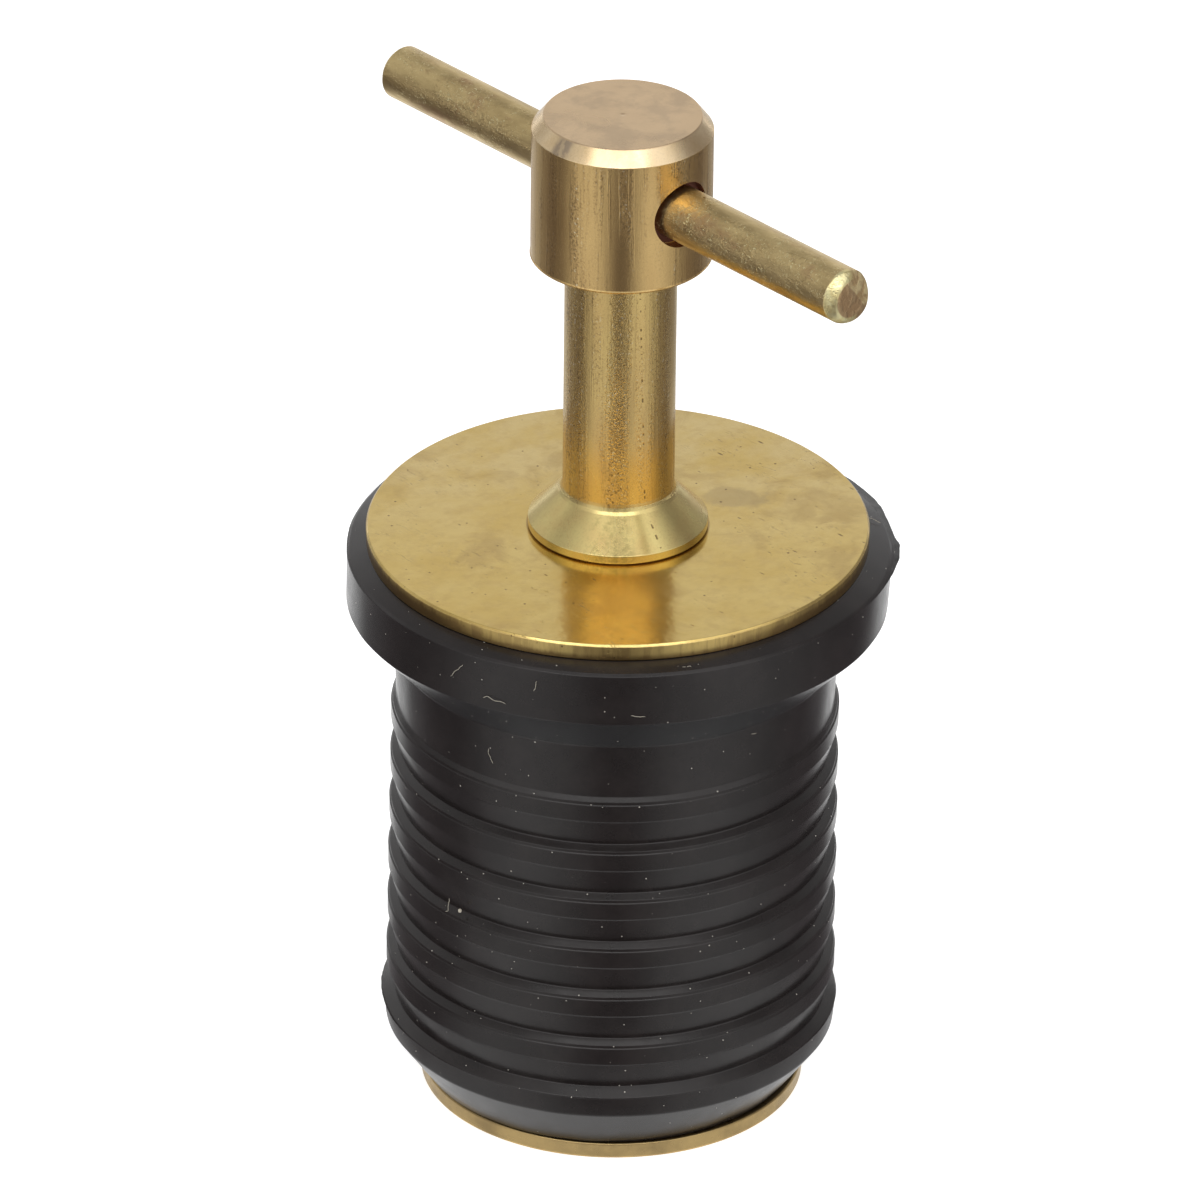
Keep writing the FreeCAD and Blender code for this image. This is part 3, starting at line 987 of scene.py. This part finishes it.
upper_panels = (
    (-180, 0.37), (-148, 0.36), (-125, 0.52), (-100, 0.42), (-80, 0.50), (-63, 0.68), (-42, 0.70),
    (-20, 0.56), (0, 0.36), (20, 0.58), (42, 1.00), (63, 1.15), (82, 0.66), (105, 0.26), (125, 0.30),
    (150, 0.36), (180, 0.37),
)
key_light = 3.0
key_bearing, key_half, key_fade = math.radians(-5), math.radians(34), math.radians(14)
crown_front, crown_back = 1.9, 0.35
dark_cloth = 0.35


def bearing_ramp(tree, turn, panels):
    """Light by bearing, from (degrees right of the camera side, brightness). The darkest cloth is warm."""
    ramp = tree.nodes.new("ShaderNodeValToRGB")
    feed(tree, ramp.inputs[0], turn)
    ramp.color_ramp.interpolation = "CARDINAL"
    while len(ramp.color_ramp.elements) < len(panels):
        ramp.color_ramp.elements.new(0.5)
    for element, (degrees, light) in zip(ramp.color_ramp.elements, panels):
        shade = max(0.0, 1 - light / dark_cloth)
        element.position = degrees / 360 + 0.5
        element.color = (light * (1 + 0.10 * shade), light * (1 - 0.06 * shade), light, 1)
    return ramp.outputs[0]


def tent_group():
    """Brightness of the tent by its bearing from the camera side, and by its height above the table."""
    tree, get, give = group("tent", [("Direction", "v")], [("Light", "c")])
    side, depth, rise = axes(tree, get.outputs["Direction"])
    bearing = math_node(tree, "ARCTAN2", side, times(tree, depth, -1.0))
    turn = math_node(tree, "MULTIPLY_ADD", bearing, 0.5 / math.pi, 0.5)
    walls = mix(tree, span(tree, rise, 0.05, 0.40), bearing_ramp(tree, turn, low_panels),
                bearing_ramp(tree, turn, high_panels))
    upper = mix(tree, span(tree, rise, 0.50, 0.64), walls, bearing_ramp(tree, turn, upper_panels))
    aside = math_node(tree, "ABSOLUTE", math_node(tree, "SUBTRACT", bearing, key_bearing))
    across = span(tree, aside, key_half, key_half + key_fade, 1.0, 0.0)
    key = times(tree, across, band(tree, rise, 0.58, 0.67, 0.74, 0.82))
    keyed = mix(tree, key, upper, [key_light] * 3)
    ahead = span(tree, depth, -0.16, 0.10, 1.0, 0.0)
    crown = mix(tree, ahead, [crown_back] * 3, [crown_front] * 3)
    feed(tree, give.inputs["Light"], mix(tree, span(tree, rise, 0.92, 0.975), keyed, crown))
    return tree


def facing_camera(tree, direction):
    """The direction, turned so that the camera's side is its front."""
    turned = {"Vector": direction, "Rotation": (0, 0, -camera_azimuth)}
    return add(tree, "ShaderNodeMapping", turned).outputs[0]


tent = tent_group()
world = bpy.data.worlds.new("tent")
bpy.context.scene.world = world
world.use_nodes = True
tree = world.node_tree
coords = tree.nodes.new("ShaderNodeTexCoord")
walls = use(tree, tent, Direction=facing_camera(tree, coords.outputs["Generated"]))
path = tree.nodes.new("ShaderNodeLightPath")
backdrop = mix(tree, path.outputs["Is Camera Ray"], walls, (1, 1, 1))
feed(tree, tree.nodes["Background"].inputs["Color"], backdrop)


def flat_square(name, half, z):
    """A level square of the studio, centred on the object."""
    corners = [(-half, -half, z), (half, -half, z), (half, half, z), (-half, half, z)]
    mesh = bpy.data.meshes.new(name)
    mesh.from_pydata(corners, [], [(0, 1, 2, 3)])
    piece = bpy.data.objects.new(name, mesh)
    bpy.context.collection.objects.link(piece)
    return piece


table_half = 2.0
table = flat_square("table", table_half, 0.0)
table_white, tree, shader = principled("table_white")
feed(tree, shader.inputs["Base Color"], (0.8, 0.8, 0.8))
feed(tree, shader.inputs["Roughness"], 0.9)
path = tree.nodes.new("ShaderNodeLightPath")
shown = math_node(tree, "ADD", path.outputs["Is Camera Ray"], path.outputs["Is Glossy Ray"], clamp=True)
glow = add(tree, "ShaderNodeEmission", {"Color": (1, 1, 1), "Strength": times(tree, shown, 0.75)})
total = add(tree, "ShaderNodeAddShader", {0: shader.outputs[0], 1: glow.outputs[0]})
feed(tree, tree.nodes["Material Output"].inputs["Surface"], total.outputs[0])
table.data.materials.append(table_white)

# What the metal sees of the table. A card just above it, which only reflections see, is white near the
# object and further out behind it, and past that it repeats the panels of the tent.
flags_half, flags_z = 0.6, 0.15 * MM
flags = flat_square("table_flags", flags_half, flags_z)
for ray in ("camera", "diffuse", "transmission", "shadow", "volume_scatter"):
    setattr(flags, "visible_" + ray, False)
flag_cloth = bpy.data.materials.new("flag_cloth")
flag_cloth.use_nodes = True
tree = flag_cloth.node_tree
tree.nodes.remove(tree.nodes["Principled BSDF"])
level = facing_camera(tree, place(tree, (1, 1, 0)))
walls = use(tree, tent, Direction=level)
reach = distance(tree, place(tree))
heading = add(tree, "ShaderNodeVectorMath", {0: level}, "NORMALIZE").outputs[0]
swept = span(tree, axes(tree, heading)[1], 0.45, 0.85)
side_edge = mix(tree, span(tree, reach, 13.0, 19.0), (0, 0, 0), (1, 1, 1))
back_edge = mix(tree, span(tree, reach, 66.0, 88.0), (0, 0, 0), (1, 1, 1))
beyond = mix(tree, swept, side_edge, back_edge)
lit = mix(tree, beyond, mix(tree, swept, (0.8, 0.8, 0.8), (1.1, 1.1, 1.1)), walls)
cloth = add(tree, "ShaderNodeEmission", {"Color": lit, "Strength": 1.0})
feed(tree, tree.nodes["Material Output"].inputs["Surface"], cloth.outputs[0])
flags.data.materials.append(flag_cloth)

# Camera, in mm in the object's frame: it looks at a point on the plug's middle plane, from the front right.
camera_elevation = math.radians(28.27)
camera_roll = math.radians(0.67)
camera_distance = 789.6
target_side, target_z = -0.94, 29.65
picture_width, picture_scale = 1200, 17.998
sensor = 36.0
level_distance = camera_distance * math.cos(camera_elevation)
away = Vector((math.sin(camera_azimuth), -math.cos(camera_azimuth), 0)) * level_distance
away.z = camera_distance * math.sin(camera_elevation)
camera_data = bpy.data.cameras.new("camera")
camera_data.sensor_width = sensor
camera_data.lens = picture_scale * camera_distance * sensor / picture_width
camera_data.clip_start = 0.05
camera_data.clip_end = 20.0
camera = bpy.data.objects.new("camera", camera_data)
bpy.context.collection.objects.link(camera)
camera.location = (view_right * target_side + Vector((0, 0, target_z)) + away) * MM
camera.rotation_mode = "QUATERNION"
aim = Euler((math.pi / 2 - camera_elevation, 0, camera_azimuth)).to_quaternion()
camera.rotation_quaternion = aim @ Euler((0, 0, camera_roll)).to_quaternion()
bpy.context.scene.camera = camera
bpy.context.scene.view_settings.view_transform = "Standard"
